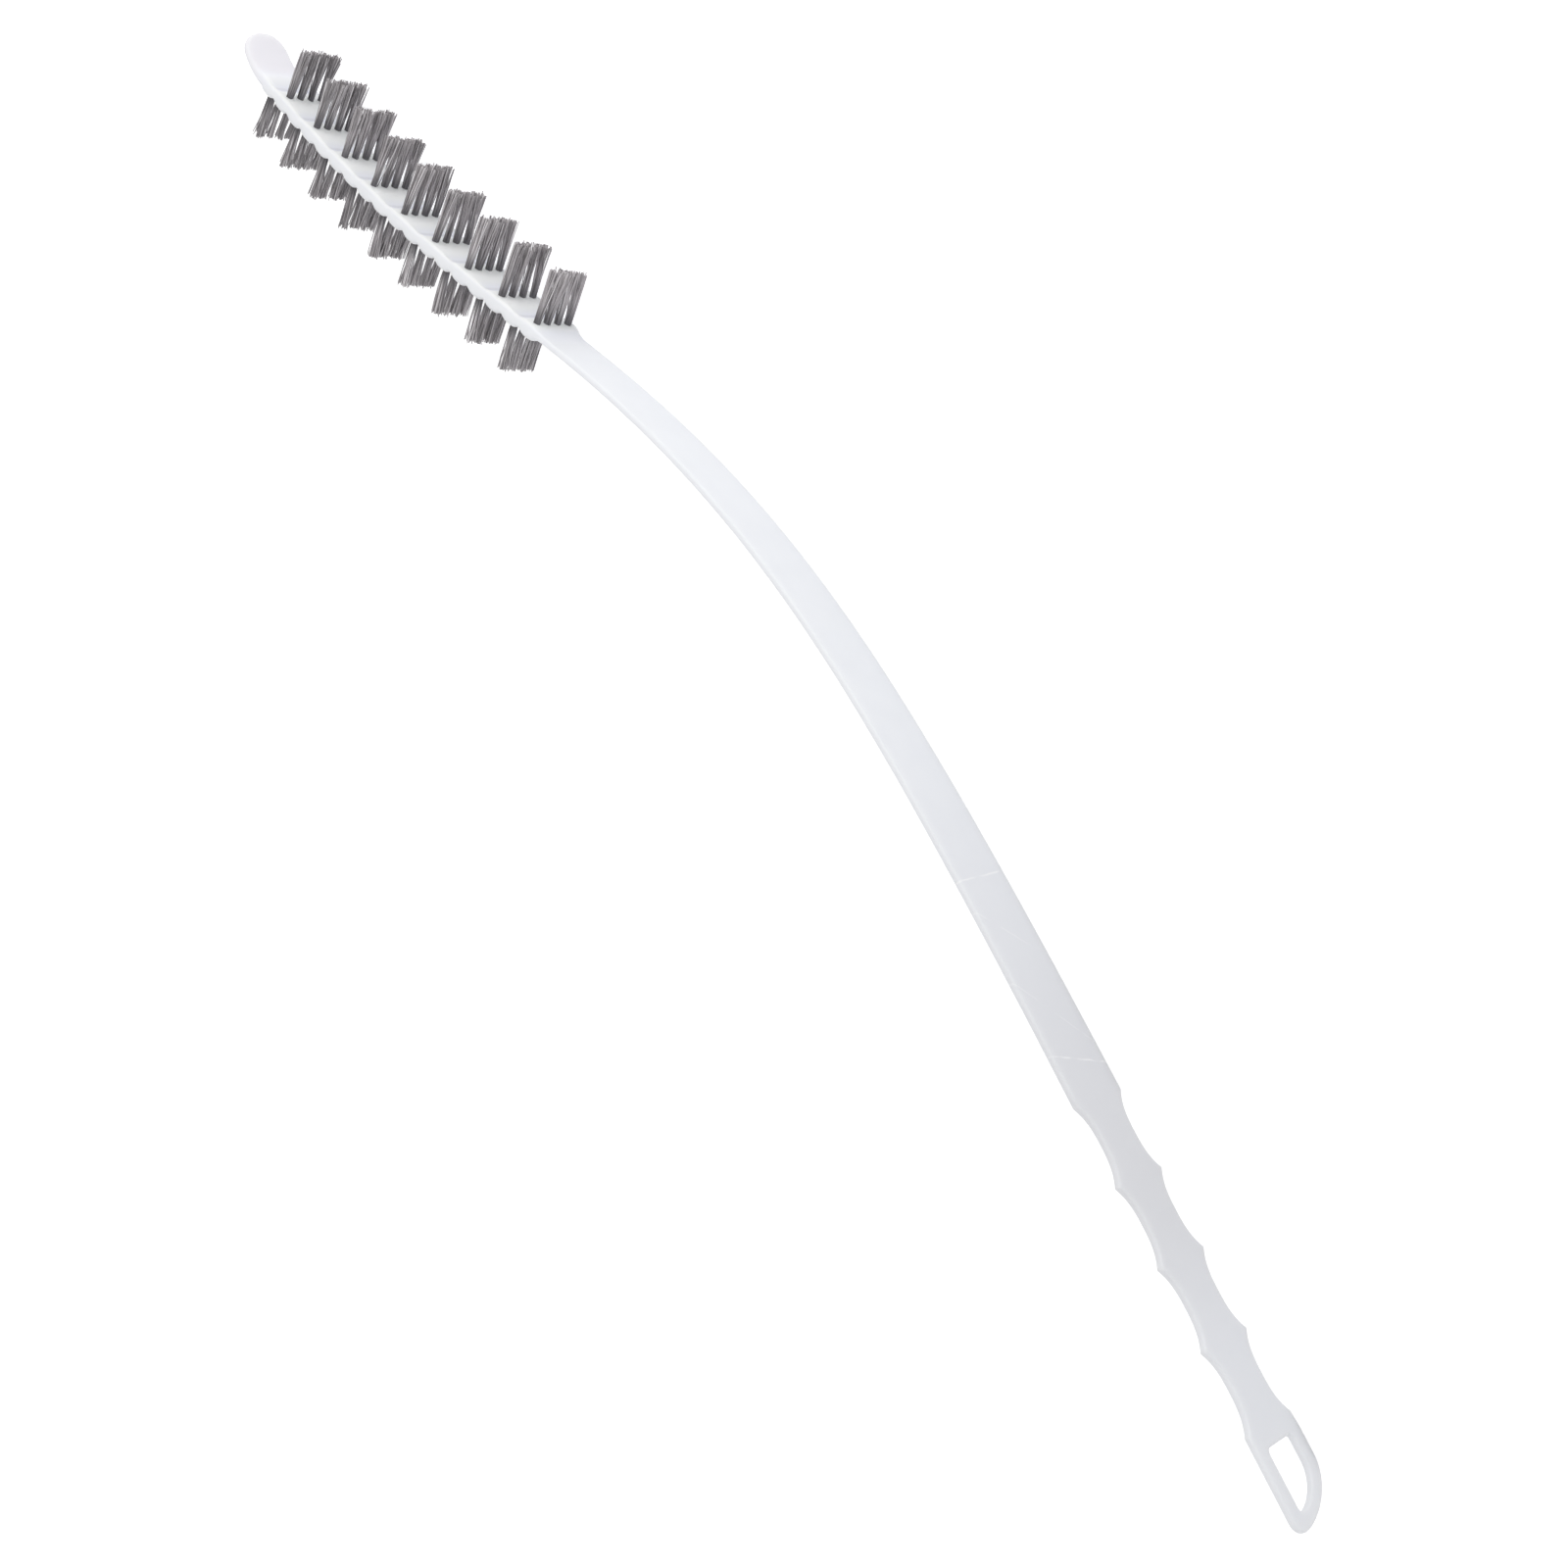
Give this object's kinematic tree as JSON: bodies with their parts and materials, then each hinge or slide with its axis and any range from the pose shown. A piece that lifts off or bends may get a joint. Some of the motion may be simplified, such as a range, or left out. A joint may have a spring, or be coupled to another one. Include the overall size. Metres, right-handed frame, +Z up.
{
  "type": "washing machine cleaning brush",
  "caption": "Long flexible milky-white plastic blade with a curled tongue, a ribbed head set with rows of grey bristle tufts on both faces, a scalloped finger grip and a hanging loop.",
  "frame": {"origin": "centre of the bounding box's base, on the surface that the brush lies on", "axes": "+X along the brush from the tongue to the hanging loop, +Y out of the front face of the grip, roughly, +Z up across the blade's width: the brush lies on its long edge, the one on which the loop bulges"},
  "size_m": [0.4996, 0.055, 0.0173],
  "materials": {
    "milky_plastic": "milky, slightly translucent moulded plastic with a soft sheen",
    "grey_nylon": "stiff warm-grey nylon filament with cut ends"
  },
  "bodies": {
    "root": {"blade": "milky_plastic", "front_tuft_row_1": "grey_nylon", "rear_tuft_row_1": "grey_nylon", "front_tuft_row_2": "grey_nylon", "rear_tuft_row_2": "grey_nylon", "front_tuft_row_3": "grey_nylon", "rear_tuft_row_3": "grey_nylon", "front_tuft_row_4": "grey_nylon", "rear_tuft_row_4": "grey_nylon", "front_tuft_row_5": "grey_nylon", "rear_tuft_row_5": "grey_nylon", "front_tuft_row_6": "grey_nylon", "rear_tuft_row_6": "grey_nylon", "front_tuft_row_7": "grey_nylon", "rear_tuft_row_7": "grey_nylon", "front_tuft_row_8": "grey_nylon", "rear_tuft_row_8": "grey_nylon", "front_tuft_row_9": "grey_nylon", "rear_tuft_row_9": "grey_nylon"}
  },
  "joints": []
}
